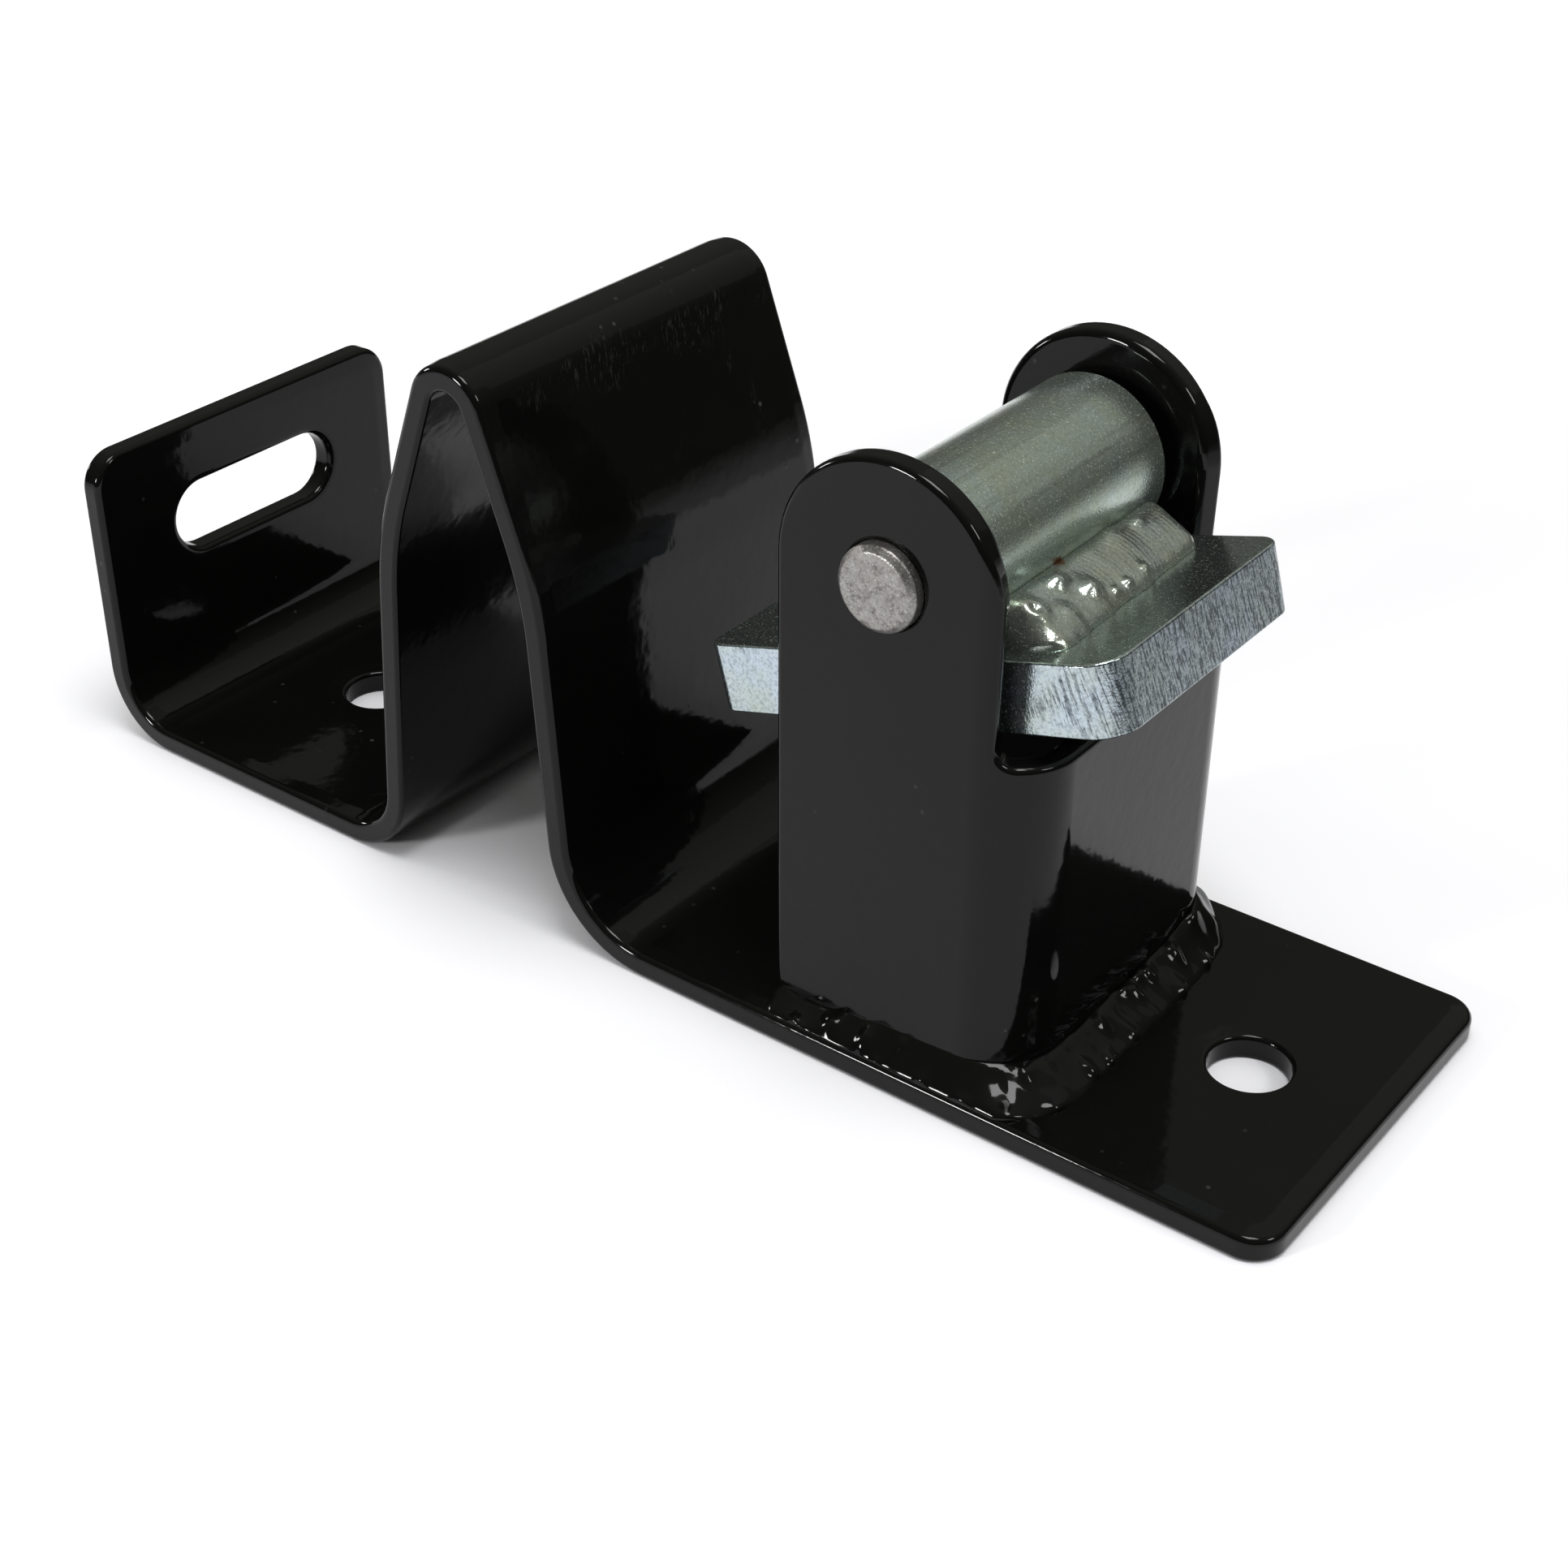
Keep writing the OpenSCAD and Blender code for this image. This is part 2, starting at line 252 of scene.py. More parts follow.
def inside(points, loop):
    """Which points lie inside a closed line."""
    x, y = points[:, 0][:, None], points[:, 1][:, None]
    a, b = loop, np.roll(loop, -1, 0)
    spans = (a[:, 1] > y) != (b[:, 1] > y)
    rise = np.where(np.abs(b[:, 1] - a[:, 1]) < 1e-12, 1e-12, b[:, 1] - a[:, 1])
    crosses = x < (b[:, 0] - a[:, 0]) * (y - a[:, 1]) / rise + a[:, 0]
    return (spans & crosses).sum(1) % 2 == 1


def between(points, loops):
    """Which points lie inside the first loop and outside the others."""
    found = inside(points, loops[0])
    for hole in loops[1:]:
        found &= ~inside(points, hole)
    return found


def cap(loops, stations, across):
    """Triangles that fill the first loop outside the others, with lines across it at the stations."""
    points, edges = [], []
    for loop in loops:
        first = len(points)
        points += list(loop)
        edges += [(first + i, first + (i + 1) % len(loop)) for i in range(len(loop))]
    for s in stations:
        line = np.stack([np.full(len(across), s), across], -1)
        kept = between(line, loops)
        for ring in loops:
            kept &= np.linalg.norm(line[:, None] - ring[None], axis=2).min(1) > CAP_CLEAR
        last = None
        for point, keep in zip(line, kept):
            if keep:
                points.append(point)
                if last is not None:
                    edges.append((last, len(points) - 1))
                last = len(points) - 1
            else:
                last = None
    out, _, faces, *_ = delaunay_2d_cdt([Vector(p) for p in points], edges, [], 0, CAP_MERGE)
    flat = np.array([list(p) for p in out])
    good = between(np.array([flat[list(f)].mean(0) for f in faces]), loops)
    return flat, [list(f) for f, ok in zip(faces, good) if ok]


def edge_rings(radius, roll, thickness):
    """Rings over an edge as (inset, height, tilt of the normal): a soft roll-off, then the rounding.

    The roll-off bends to its lean over its first third and runs straight from there.
    """
    lean = ROLL_LEAN if roll else 0.0
    slope = roll * math.tan(lean)
    first = radius * (1 - math.sin(lean))

    def height(t):
        """Height of the face at a share t of the roll-off."""
        return thickness / 2 - slope * (1.5 * t * t if t < 1 / 3 else t - 1 / 6)

    rings = [(first + roll * (1 - t), height(t), lean * min(1, 3 * t)) for t in (0, 1 / 6, 1 / 3, 2 / 3) if roll]
    return rings + [(radius * (1 - math.sin(a)), height(1) - radius * (math.cos(lean) - math.cos(a)), a)
                    for a in np.linspace(lean, math.pi / 2, ROUND_POINTS)]


def folded_plate(name, loops, edges, path, thickness, place):
    """Plate cut to the loops, with rounded edges, folded along the path.

    loops are closed lines of (along, across): the outline turns left and holes turn right. edges gives each
    loop's rounding. place turns (points in the path's plane, across) into points or normals of the frame.
    """
    flat, lift, tilt, faces = [], [], [], []
    tops, bottoms = [], []
    count = 0
    for loop, (top_r, roll, bottom_r) in zip(loops, edges):
        normal, n = outward(loop), len(loop)
        over, under = edge_rings(top_r, roll, thickness), edge_rings(bottom_r, 0.0, thickness)
        rings = over + [(d, -h, math.pi - a) for d, h, a in reversed(under)]
        for d, h, a in rings:
            flat.append(loop - normal * d)
            lift.append(np.full(n, h))
            tilt.append(np.concatenate([normal * math.sin(a), np.full((n, 1), math.cos(a))], 1))
        faces += quads(count, n, len(rings))
        count += n * len(rings)
        tops.append(loop - normal * over[0][0])
        bottoms.append(loop - normal * under[0][0])
    for side, loops_in in ((1, tops), (-1, bottoms)):
        low, high = loops_in[0][:, 1].min(), loops_in[0][:, 1].max()
        across = np.linspace(low + CAP_MARGIN, high - CAP_MARGIN, CAP_COLUMNS)
        fill, triangles = cap(loops_in, path.bend_stations(), across)
        flat.append(fill)
        lift.append(np.full(len(fill), side * thickness / 2))
        tilt.append(np.tile([0.0, 0.0, side], (len(fill), 1)))
        faces += [tuple(count + i for i in f) for f in triangles]
        count += len(fill)
    flat, lift, tilt = np.concatenate(flat), np.concatenate(lift), np.concatenate(tilt)
    points, headings = path.at(flat[:, 0])
    along = np.stack([np.cos(headings), np.sin(headings)], -1)
    up = np.stack([-np.sin(headings), np.cos(headings)], -1)
    spots = place(points + up * lift[:, None], flat[:, 1])
    normals = place(along * tilt[:, :1] + up * tilt[:, 2:], tilt[:, 1])
    return make_mesh(name, spots, faces, normals)


def upright(points, across):
    """A path drawn in the side view, with the plate's width along Y."""
    return np.stack([points[:, 0], across, points[:, 1]], -1)


def level(points, across):
    """A path drawn in the plan, with the plate's width along Z."""
    return np.stack([points[:, 0], points[:, 1], across], -1)


def strap_path():
    """Middle line of the strap, from the top of the flange to the bolt end."""
    half = STRAP_T / 2
    bend_out, foot_out = BEND_R + STRAP_T, FOOT_R + STRAP_T
    knee_turn = LOWER_TURN - UPPER_TURN
    knee_top = KNEE_H + KNEE_R * (math.cos(UPPER_TURN) - math.cos(LOWER_TURN))
    crown_low = HUMP_H - STRAP_T - CROWN_R * (1 - math.cos(UPPER_TURN))
    upper_run = (crown_low - knee_top) / math.sin(UPPER_TURN)

    def wall(foot):
        """Length of a lower wall and half the hump's length, for the outer radius of its foot."""
        run = (KNEE_H - foot * (1 - math.cos(LOWER_TURN))) / math.sin(LOWER_TURN)
        reach = foot * math.sin(LOWER_TURN) + run * math.cos(LOWER_TURN)
        reach += KNEE_R * (math.sin(LOWER_TURN) - math.sin(UPPER_TURN))
        return run, reach + upper_run * math.cos(UPPER_TURN) + CROWN_R * math.sin(UPPER_TURN)

    near_wall, near_half = wall(bend_out)
    far_wall, far_half = wall(foot_out)
    return FoldPath((FLANGE_X + half, FLANGE_H), -math.pi / 2, [
        (FLANGE_H - bend_out, 0), (BEND_R + half, math.pi / 2),
        (HUMP_CX - FLANGE_X - near_half - bend_out, 0), (BEND_R + half, LOWER_TURN),
        (near_wall, 0), (KNEE_R + half, -knee_turn), (upper_run, 0), (CROWN_R + half, -2 * UPPER_TURN),
        (upper_run, 0), (KNEE_R + half, -knee_turn), (far_wall, 0), (FOOT_R + half, LOWER_TURN),
        (END_X - HUMP_CX - far_half, 0)])


def strap():
    """The flat bar with its slot and two holes, folded."""
    path = strap_path()
    outline = rectangle(path.length, STRAP_W / 2 + COAT_T, FLANGE_CORNER_R, END_CORNER_R, END_CORNER_R)
    slot_half, slot_s = SLOT_LEN / 2 - SLOT_R, FLANGE_H - SLOT_Z
    slot = np.concatenate([arc((slot_s, slot_half), SLOT_R, 180, 0),
                           arc((slot_s, -slot_half), SLOT_R, 0, -180)])
    first_s = path.at_s[2] + FIRST_HOLE_CX - (FLANGE_X + BEND_R + STRAP_T)
    second_s = path.length - (END_X - SECOND_HOLE_CX)
    holes = [round_hole((s, 0), BOLT_HOLE_R) for s in (first_s, second_s)]
    loops = [densify(outline, path.bend_stations()), densify(slot), *holes]
    edges = [STRAP_EDGE, SLOT_EDGE, BOLT_EDGE, BOLT_EDGE]
    return folded_plate("strap_coated", loops, edges, path, STRAP_T, upright)


def clevis_path(inset):
    """Line round the clevis in plan, at an inset from its outer face, from the front ear to the rear ear."""
    ear_run, web_run = WEB_X - CLEVIS_FOLD_R - EAR_X, CLEVIS_W - 2 * CLEVIS_FOLD_R
    fold = (CLEVIS_BEND_R + (CLEVIS_T - inset), math.pi / 2)
    return FoldPath((EAR_X, inset - CLEVIS_W / 2), 0.0, [(ear_run, 0), fold, (web_run, 0), fold, (ear_run, 0)])


def clevis():
    """The plate with two round ears, folded into a U."""
    path = clevis_path(CLEVIS_T / 2)
    length, foot, corner, ear_in = path.length, STRAP_T, CLEVIS_CORNER_R, 2 * EAR_R
    outline = np.concatenate([
        arc((corner, foot + corner), corner, 180, 270),
        arc((length - corner, foot + corner), corner, 270, 360),
        arc((length - EAR_R, PIVOT[2]), EAR_R + COAT_T, 0, 180),
        arc((length - ear_in - NOTCH_R, WEB_H + NOTCH_R), NOTCH_R, 360, 270),
        arc((ear_in + NOTCH_R, WEB_H + NOTCH_R), NOTCH_R, 270, 180),
        arc((EAR_R, PIVOT[2]), EAR_R + COAT_T, 0, 180)])
    holes = [round_hole((s, PIVOT[2]), PIN_R + PIN_GAP) for s in (EAR_R, length - EAR_R)]
    loops = [densify(outline, path.bend_stations()), *holes]
    edges = [EAR_EDGE, PIN_HOLE_EDGE, PIN_HOLE_EDGE]
    return folded_plate("clevis_coated", loops, edges, path, CLEVIS_T, level)


def hang(along, across, up):
    """Points of the pawl's own frame, about the pivot, hung with the tongue down."""
    c, s = math.cos(HANG_ANGLE), math.sin(HANG_ANGLE)
    return np.stack([PIVOT[0] + along * c - up * s, across + PAWL_Y, PIVOT[2] + along * s + up * c], -1)


def pawl():
    """The thick flat plate under the barrel."""
    length = TONGUE_LEN + TAIL_LEN
    outline = rectangle(length, PAWL_W / 2, TONGUE_CORNER_R, TAIL_CORNER_R, REAR_CORNER_R)
    outline = densify(outline) + np.array([0, PAWL_Y])
    start = hang(np.array([-TONGUE_LEN]), np.array([0.0]), np.array([-BARREL_R - PAWL_T / 2]))[0]
    path = FoldPath((start[0], start[2]), HANG_ANGLE, [(length, 0)])
    return folded_plate("pawl_plated", [outline], [PAWL_EDGE], path, PAWL_T, upright)


# Turned pieces

def bevelled(bore, r, half, bevel):
    """Corners of a bar or tube with bevelled ends, as (radius, along)."""
    return [(bore, -half), (r - bevel, -half), (r, -half + bevel), (r, half - bevel), (r - bevel, half), (bore, half)]


def rounded(corners, r):
    """Closed line of (radius, along) with its corners rounded, except on the axis."""
    corners = np.array(corners, float)
    out = []
    for i, p in enumerate(corners):
        before, after = corners[i - 1] - p, corners[(i + 1) % len(corners)] - p
        if p[0] < TINY:
            out.append(p)
            continue
        a, b = p + before / np.linalg.norm(before) * r, p + after / np.linalg.norm(after) * r
        for t in np.linspace(0, 1, ROUND_POINTS):
            out.append((1 - t) ** 2 * a + 2 * t * (1 - t) * p + t * t * b)
    return np.array(out)


def lathe(name, profile, centre):
    """Solid turned about a line along Y: profile is a closed line of (radius, along)."""
    r, along = profile.T
    rings = [np.stack([centre[0] + r * math.cos(a), centre[1] + along, centre[2] + r * math.sin(a)], -1)
             for a in np.linspace(0, 2 * math.pi, LATHE_STEPS, endpoint=False)]
    piece = make_mesh(name, np.concatenate(rings), quads(0, len(profile), LATHE_STEPS, closed=True))
    piece.data.set_sharp_from_angle(angle=SHARP_ANGLE)
    return piece


def barrel():
    """The thick tube, faced off square with a broken edge."""
    profile = rounded(bevelled(PIN_R, BARREL_R, PAWL_W / 2, BARREL_BEVEL), BARREL_EDGE)
    return lathe("barrel_plated", profile, (PIVOT[0], PAWL_Y, PIVOT[2]))


def pin():
    """The headless pin with bevelled ends."""
    return lathe("pin_plated", rounded(bevelled(0.0, PIN_R, PIN_LEN / 2, PIN_BEVEL), PIN_EDGE), PIVOT)


# Weld beads

END_SIZE = 0.3  # share of a bead's section that is left at its ends
# Drops on the pawl's beads: along the bead, up from its toe on the plate, height and radius
TAIL_DROPS = [(-11.2, 8.7, 1.4, 1.9), (-7.4, 4.9, 1.5, 2.0), (-20.0, 7.2, 1.4, 2.3), (-20.0, 7.2, -1.3, 1.0),
              (-15.6, 4.2, 0.8, 2.0), (-22.8, 1.0, 0.9, 1.0), (5.7, 2.5, 0.6, 1.0), (0.2, 2.1, 0.6, 0.9),
              (-3.3, 2.2, 0.6, 0.9), (14.2, 9.3, 0.6, 1.3)]
TONGUE_DROPS = [(15, 5.0, 1.0, 1.7), (-9, 3.6, 0.8, 1.5), (20, 2.4, 0.8, 1.2), (-18, 7.0, 0.6, 1.3)]


def lump(x, y, z=0.0):
    """Smooth noise between about -1 and 1."""
    return noise.noise(Vector((x, y, z)))


def waver(s, scale, seed, fine_seed):
    """Noise along a bead, with a finer one over it."""
    return lump(s * scale, seed) + 0.4 * lump(s * scale * 2.5, fine_seed)


def rise(s, middle, width):
    """Soft step from 0 to 1 along a bead."""
    return 1 / (1 + math.exp(-(s - middle) / width))


def eased(s, table):
    """Value at s of a table (stations, values), with its kinks eased."""
    return float(np.mean(np.interp(s + np.linspace(-3, 3, 5), *table)))


def end_size(from_end, taper):
    """Size of a bead's section, which grows round from its end."""
    share = min(1.0, max(0.0, from_end / taper))
    return END_SIZE + (1 - END_SIZE) * math.sqrt(1 - (1 - share) ** 2)


def mounds_at(mounds, along, across):
    """Height of the rounded mounds (along, across, height, radius) at one spot of a bead."""
    return sum(h * math.exp(-((along - a) ** 2 + (across - b) ** 2) / r ** 2) for a, b, h, r in mounds)


def bead(name, stations, section):
    """Closed bead: section(s) gives its points from one toe to the other, then its root."""
    points = [section(s) for s in stations]
    n, count = len(points[0]), len(points)
    faces = quads(0, n, count) + [tuple(range(n)), tuple(range((count - 1) * n, count * n))]
    return make_mesh(name, np.concatenate(points), faces)


def clevis_weld():
    """Bead along the foot of the clevis, from the front ear round the web to the rear ear."""
    path = clevis_path(0.0)
    _, front_fold, web_start, web_end, rear_fold, length = path.at_s
    front_corner, rear_corner = (front_fold + web_start) / 2, (web_end + rear_fold) / 2
    sunk, taper, stations, rows = 0.5, 3.0, 520, 20
    hollow, girth = 2.1, 7.0  # how hollow the section is, and the drops' measure from toe to toe
    edge_room = STRAP_W / 2 - CLEVIS_W / 2 - 0.3
    # How far the bead reaches out on the strap and up the plate, at stations along it
    reach_at = ([0, 30, 40, front_corner, web_start, web_end - 8, rear_corner, rear_fold + 4, length],
                [4.4, 4.5, 6.5, 9.2, 7.4, 7.1, 5.2, 4.5, 4.4])
    height_at = ([0, 3, 8, 16, 26, front_corner, web_start + 6, web_end - 8, rear_corner - 3, rear_corner + 8,
                  length],
                 [3.6, 2.2, 1.9, 3.3, 4.4, 5.0, 4.2, 5.2, 8.2, 5.0, 4.4])
    # Drops of weld metal that catch the light: along, across, height and radius
    drops = [(7, 1.9, 0.5, 1.1), (8.5, 0.9, 0.5, 0.8), (13.4, 3.6, 0.75, 1.5), (20.4, 3.2, 0.75, 1.5),
             (24, 0.8, 0.6, 0.8), (27, 4.4, 0.4, 1.0), (33, 1.4, 0.5, 1.0), (front_corner - 6, 0.9, 0.7, 1.0),
             (front_corner - 1, 1.0, 0.8, 1.0), (front_corner - 2, 4.0, -0.5, 1.6),
             (front_corner + 2, 4.8, 0.6, 1.0), (front_corner + 4, 1.4, 0.8, 1.1),
             (web_start + 2, 2.6, 0.8, 1.1), (web_start + 7, 1.6, 0.8, 1.1), (web_start + 11, 4.6, 0.6, 1.0),
             (web_start + 15, 2.2, 0.8, 1.1), (web_start + 20, 5.6, 0.7, 1.0), (web_start + 22, 4.6, 0.7, 1.0),
             (web_start + 24.5, 5.8, 0.7, 1.0), (web_start + 27, 4.9, 0.7, 1.0), (web_start + 31, 1.6, 0.9, 1.2),
             (web_start + 35, 4.4, 0.9, 1.3), (web_end - 2, 1.4, 0.8, 1.1), (web_end + 1, 5.4, 0.9, 1.5),
             (web_end + 4, 3.4, 0.8, 1.2), (rear_corner, 4.2, 0.9, 1.5)]

    def section(s):
        """Points from the toe on the strap up to the toe on the plate, then the root."""
        point, heading = (x[0] for x in path.at([s]))
        out = np.array([math.sin(heading), -math.cos(heading)])
        end = end_size(min(s, length - s), taper)
        on_web = rise(s, front_corner - 5, 2) - rise(s, web_end + 8, 3)
        room = (CLEVIS_FOLD_R + edge_room) / max(0.2, abs(math.cos(heading))) - CLEVIS_FOLD_R
        reach = min(room, eased(s, reach_at) + (0.1 + 0.2 * on_web) * waver(s, 0.16, 3.1, 7.7))
        height = eased(s, height_at) + (0.15 + 0.2 * on_web) * waver(s, 0.14, 11.3, 5.9)
        found = []
        for v in np.linspace(0, 1, rows):
            a = v * math.pi / 2
            rough = (0.05 + 0.3 * on_web) * lump(s * 0.2, v * 1.5, 2.0)
            rough += (0.015 + 0.15 * on_web) * lump(s * 0.5, v * 3.8, 4.0)
            belly = min(1.0, 1.4 * math.sin(2 * a))
            swell = (0.12 + 0.3 * on_web + rough + mounds_at(drops, s, v * girth)) * belly
            turn = math.radians(20) + a * 0.65
            o = reach * math.cos(a) ** hollow + swell * math.cos(turn)
            z = height * math.sin(a) ** hollow + swell * math.sin(turn)
            flat = point + out * (min(o, room + 0.1) * end)
            found.append((*flat, STRAP_T + z * end - sunk * (1 - v) ** 6))
        root = point - out * sunk
        return np.array(found + [(*root, found[-1][2]), (*root, STRAP_T - sunk)])

    return bead("clevis_weld_coated", np.linspace(0, length, stations), section)


def pawl_weld(name, side, seed, drops):
    """Bead between barrel and plate, toward the tail for side 1 and the tongue for side -1."""
    toe_u, top_angle, half = 21.4, math.radians(-27), PAWL_W / 2 - 2.5
    taper, stations, rows, girth = 4.0, 420, 40, 11.7
    crescent, bow = 1.05, 2.6  # spacing of the ripples, and how far they bow along the bead
    corner = np.array([9.5, -BARREL_R - 0.2])  # where the ends of the bead shrink to
    roots = ((9.5, -8.5), (8.0, -BARREL_R - 0.4), (10.5, -BARREL_R - 0.4))

    def section(y):
        """Points from the toe on the plate up to the toe on the barrel, then the root."""
        end = end_size(half - abs(y), taper)
        toe_now = toe_u - 0.05 * y + 0.6 * lump(y * 0.14, seed) + 0.2 * lump(y * 0.5, seed + 2)
        toe = np.array([toe_now, -BARREL_R])
        top = top_angle + math.radians(2.0 * lump(y * 0.2, seed + 4))
        chord = BARREL_R * np.array([math.cos(top), math.sin(top)]) - toe
        normal = np.array([chord[1], -chord[0]]) / np.linalg.norm(chord)
        found = []
        for v in np.linspace(0, 1, rows):
            belly = 1 - (1 - min(1.0, 1.5 * math.sin(math.pi * v))) ** 2
            turns = (y + bow * (2 * v - 1) ** 2) / crescent + 0.35 * lump(y * 0.3, v * 2, seed + 6)
            ripple = (0.55 + 0.45 * lump(y * 0.19, v * 1.5, seed + 8)) * math.sin(2 * math.pi * turns)
            swell = 0.95 + 0.026 * ripple * rise(y, -6, 2) + mounds_at(drops, y, v * girth)
            swell += 0.22 * lump(y * 0.11, v * 1.1, seed) + 0.03 * lump(y * 0.33, v * 3, seed + 1)
            p = corner + (toe + chord * v + normal * swell * belly - corner) * end
            found.append((p[0] * side, y, p[1]))
        found += [(u * side, y, z) for u, z in roots]
        return hang(*np.array(found).T)

    return bead(name, np.linspace(-half, half, stations), section)


# Materials, in metres

COAT_BLACK, COAT_HAZE, COAT_WORN = (0.0026, 0.0026, 0.0028), (0.0046, 0.0045, 0.0040), (0.06, 0.062, 0.058)
COAT_GLOSS = 0.205
HUMP_X = (-0.028, -0.024, 0.004, 0.008)   # the hump's length, with soft ends
SCUFF_Z = (0.092, 0.096, 0.099, 0.101)    # band under the crown where most scuffs lie, with soft ends
RUST, GLINT = (0.16, 0.075, 0.035), (0.80, 0.82, 0.70)
STAIN_AT = (0.0668, -0.0064, 0.0868)      # rust stain between barrel and weld
CUT_X = (0.070, 0.084)                    # the tail's side, where the cut marks close up toward its end


class Nodes:
    """A node tree that is written as nested calls."""

    def __init__(self, tree):
        self.tree = tree

    def node(self, kind, output=0, settings=None, **inputs):
        """A node's output, with its inputs set or joined by name, or by number as i0 and i1."""
        made = self.tree.nodes.new(kind)
        for key, value in (settings or {}).items():
            setattr(made, key, value)
        for key, value in inputs.items():
            numbered = key[0] == "i" and key[1:].isdigit()
            self.put(made.inputs[int(key[1:]) if numbered else key.replace("_", " ")], value)
        return made.outputs[output]

    def put(self, socket, value):
        """Sets a socket, or joins an output to it."""
        if isinstance(value, bpy.types.NodeSocket):
            self.tree.links.new(value, socket)
        else:
            socket.default_value = value

    def turned(self, vector, x=0.0, y=0.0, z=0.0):
        """A vector turned about the axes."""
        return self.node("ShaderNodeMapping", Vector=vector, Rotation=(x, y, z))

    def scaled(self, vector, x, y, z):
        """A vector scaled along the axes."""
        return self.node("ShaderNodeMapping", Vector=vector, Scale=(x, y, z))

    def part(self, vector, axis):
        """One of a vector's three values."""
        return self.node("ShaderNodeSeparateXYZ", axis, Vector=vector)

    def noise(self, vector, scale, detail=3.0, roughness=0.55):
        """Noise about 0.5."""
        return self.node("ShaderNodeTexNoise", "Fac", Vector=vector, Scale=scale, Detail=detail, Roughness=roughness)

    def dots(self, vector, scale, small, large):
        """Round dots, one in each cell of a grid of cells."""
        cells = self.node("ShaderNodeTexVoronoi", "Distance", Vector=vector, Scale=scale)
        return self.ramp(cells, small, large, 1.0, 0.0)

    def ramp(self, value, low, high, to_low=0.0, to_high=1.0, smooth=False):
        """value from low to high, mapped to another span and kept inside it."""
        kind = "SMOOTHSTEP" if smooth else "LINEAR"
        return self.node("ShaderNodeMapRange", settings={"interpolation_type": kind, "clamp": True},
                         Value=value, From_Min=low, From_Max=high, To_Min=to_low, To_Max=to_high)

    def span(self, value, start, full, past, end):
        """1 from full to past, fading to 0 at start and end."""
        return self.times(self.ramp(value, start, full), self.ramp(value, past, end, 1.0, 0.0))

    def math(self, operation, a, b=0.0, clamp=False):
        """Result of a math node."""
        return self.node("ShaderNodeMath", settings={"operation": operation, "use_clamp": clamp}, i0=a, i1=b)

    def chain(self, operation, values):
        """Result of math nodes that take in the values one after the other."""
        result = values[0]
        for value in values[1:]:
            result = self.math(operation, result, value)
        return result

    def times(self, *values):
        """Product of several values."""
        return self.chain("MULTIPLY", values)

    def plus(self, *values):
        """Sum of several values."""
        return self.chain("ADD", values)

    def most(self, *values):
        """Largest of several values."""
        return self.chain("MAXIMUM", values)

    def mix(self, share, a, b):
        """Colour between a, a colour or an output, and the colour b."""
        made = self.tree.nodes.new("ShaderNodeMix")
        made.data_type = "RGBA"
        self.put(made.inputs["Factor"], share)
        self.put(made.inputs[6], a if isinstance(a, bpy.types.NodeSocket) else (*a, 1))
        self.put(made.inputs[7], (*b, 1))
        return made.outputs[2]

    def bump(self, height, distance, normal=None):
        """Normal bent by a height, with its distance in millimetres."""
        inputs = {"Height": height, "Distance": distance * MM}
        if normal is not None:
            inputs["Normal"] = normal
        return self.node("ShaderNodeBump", **inputs)


class Shader(Nodes):
    """A node material, with the object's own place and normal."""

    def __init__(self, name):
        self.material = bpy.data.materials.new(name)
        self.material.use_nodes = True
        super().__init__(self.material.node_tree)
        self.surface = self.tree.nodes["Principled BSDF"]
        outputs = self.tree.nodes.new("ShaderNodeTexCoord").outputs
        self.place, self.normal = outputs["Object"], outputs["Normal"]

    def base(self, **inputs):
        """Sets the inputs of the surface."""
        for key, value in inputs.items():
            self.put(self.surface.inputs[key.replace("_", " ")], value)


def coat_material():
    """Gloss black powder coat with an orange peel, a faint haze, dust specks and scuffs under the crown."""
    m = Shader("black_coat")
    here = m.place
    along, height = m.part(here, "X"), m.part(here, "Z")
    peel, grain = m.noise(here, 330, 1.0), m.noise(here, 1500, 2.0)
    haze = m.noise(here, 42, 4.0, 0.65)
    dust = m.times(m.dots(here, 230, 0.05, 0.12), m.ramp(m.noise(here, 60, 2.0), 0.56, 0.66))
    scratch = m.noise(m.scaled(m.turned(here, 0.35), 700, 1900, 330), 1.0, 3.0, 0.7)
    patch = m.plus(m.noise(here, 62, 2.0), m.times(m.span(height, *SCUFF_Z), 0.17))
    scuff = m.times(m.ramp(scratch, 0.55, 0.68, 0.0, 0.45), m.ramp(patch, 0.61, 0.72),
                    m.ramp(height, 0.07, 0.08), m.span(along, *HUMP_X))
    wear = m.most(dust, scuff)
    m.base(Base_Color=m.mix(m.times(wear, 0.8), m.mix(haze, COAT_BLACK, COAT_HAZE), COAT_WORN),
           Roughness=m.plus(m.ramp(haze, 0.35, 0.75, 0.05, 0.11), m.times(wear, 0.3)),
           Normal=m.bump(wear, 0.02, m.bump(grain, 0.004, m.bump(peel, 0.035))),
           Specular_IOR_Level=COAT_GLOSS)
    return m.material


